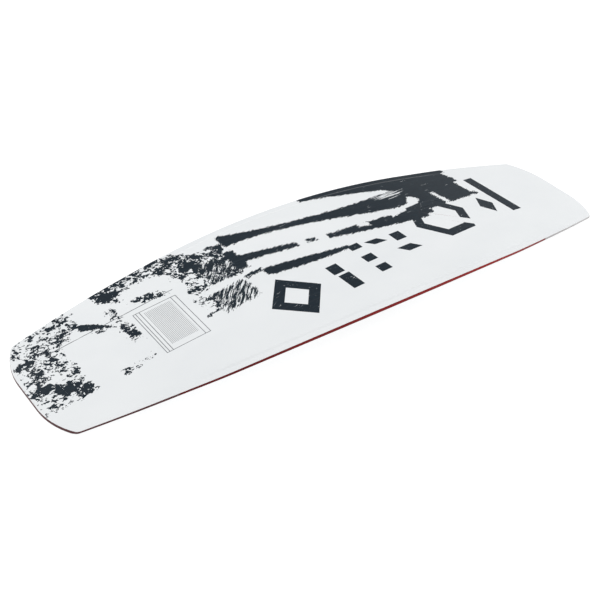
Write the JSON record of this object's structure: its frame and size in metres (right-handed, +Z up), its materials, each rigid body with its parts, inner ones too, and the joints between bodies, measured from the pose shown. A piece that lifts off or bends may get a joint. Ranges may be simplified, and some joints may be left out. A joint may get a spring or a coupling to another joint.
{
  "type": "wakeboard",
  "caption": "Twin-tip wakeboard with an arched rocker, square shouldered tips, a low step along each rail, and rows of threaded binding inserts.",
  "frame": {"origin": "on the floor plane under the board's centre, at the height of the two tips the board stands on", "axes": "+Z up out of the base (the board is stored base up), +X along the length towards the nose, +Y across the width"},
  "size_m": [1.44, 0.432, 0.0741],
  "materials": {
    "base_polyethylene": "semi-gloss white sintered polyethylene with dark printed areas and fine lengthwise scratches",
    "top_sheet_plastic": "gloss white top sheet with a plain dark geometric print",
    "glass_laminate": "clear resin over woven glass",
    "sidewall_red": "sanded red ABS",
    "tip_rail_dark": "sanded black-brown ABS",
    "core_wood": "pale paulownia, planed",
    "stringer_wood": "denser poplar, planed",
    "insert_steel": "turned stainless steel, sanded flush"
  },
  "bodies": {
    "root": {"base_sheet": "base_polyethylene", "lower_laminate": "glass_laminate", "upper_laminate": "glass_laminate", "top_sheet": "top_sheet_plastic", "sidewall_left": "sidewall_red", "sidewall_right": "sidewall_red", "tip_rail_nose": "tip_rail_dark", "tip_rail_tail": "tip_rail_dark", "core_centre": "core_wood", "core_inner_left": "core_wood", "core_inner_right": "core_wood", "core_stringer_left": "stringer_wood", "core_stringer_right": "stringer_wood", "core_mid_left": "core_wood", "core_mid_right": "core_wood", "core_outer_left": "core_wood", "core_outer_right": "core_wood", "core_edge_left": "core_wood", "core_edge_right": "core_wood", "inserts_nose_left": "insert_steel", "inserts_nose_right": "insert_steel", "inserts_tail_left": "insert_steel", "inserts_tail_right": "insert_steel"}
  },
  "joints": []
}
